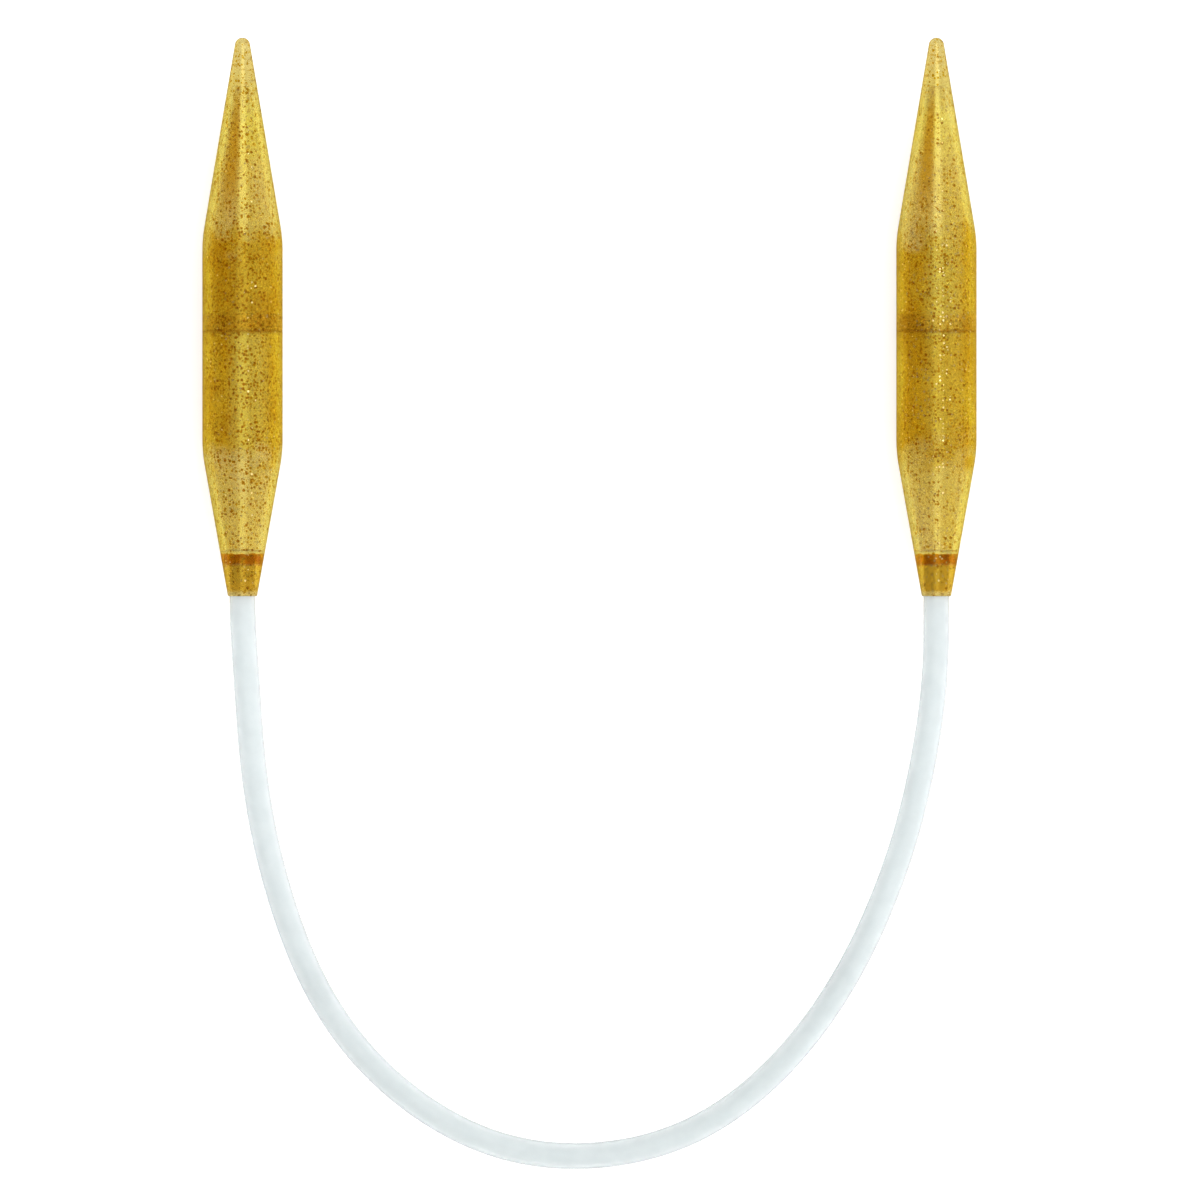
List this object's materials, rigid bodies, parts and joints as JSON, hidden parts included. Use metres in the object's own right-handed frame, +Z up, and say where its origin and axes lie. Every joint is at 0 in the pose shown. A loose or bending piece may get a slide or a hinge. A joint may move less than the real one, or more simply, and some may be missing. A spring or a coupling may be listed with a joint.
{
  "type": "circular knitting needle",
  "caption": "Circular knitting needle: hollow tapered plastic tips joined by a flexible tube, for knitting in the round.",
  "frame": {"origin": "on the floor, midway between the tips, at the middle of the tips' length", "axes": "+Y along both tips from their tails to their noses, +X from the left tip to the right tip, +Z up from the floor they lie on"},
  "size_m": [0.183, 0.2675, 0.019],
  "materials": {
    "amber_plastic": "glossy translucent amber with fine dark specks and small glitter",
    "dark_plug": "dark amber, smooth",
    "clear_tube": "pale bluish-white translucent flexible tube, semi-gloss"
  },
  "bodies": {
    "left_cord": {"left_cord_run": "clear_tube"},
    "right_cord": {"right_cord_run": "clear_tube"},
    "left_tip": {"left_point_shell": "amber_plastic", "left_tail_shell": "amber_plastic", "left_cord_plug": "dark_plug", "left_cord_end": "clear_tube", "left_cord_neck": "clear_tube"},
    "right_tip": {"right_point_shell": "amber_plastic", "right_tail_shell": "amber_plastic", "right_cord_plug": "dark_plug", "right_cord_end": "clear_tube", "right_cord_neck": "clear_tube"}
  },
  "joints": [
    {"name": "left_tip_bend", "type": "hinge", "parent": "left_cord", "child": "left_tip", "pos_m": [-0.0811, -0.0848, 0.0092], "axis": [0, 0, -1], "range_deg": [-30, 22], "stiffness_Nm_per_rad": 0.05, "deforming": ["left_cord_run"]},
    {"name": "loop_bend", "type": "hinge", "parent": "left_cord", "child": "right_cord", "pos_m": [0, -0.1985, 0.00305], "axis": [0, 0, 1], "range_deg": [-45, 10], "stiffness_Nm_per_rad": 0.02, "deforming": ["left_cord_run", "right_cord_run"]},
    {"name": "right_tip_bend", "type": "hinge", "parent": "right_cord", "child": "right_tip", "pos_m": [0.0816, -0.0848, 0.0092], "axis": [0, 0, 1], "range_deg": [-30, 22], "stiffness_Nm_per_rad": 0.05, "deforming": ["right_cord_run"]}
  ]
}
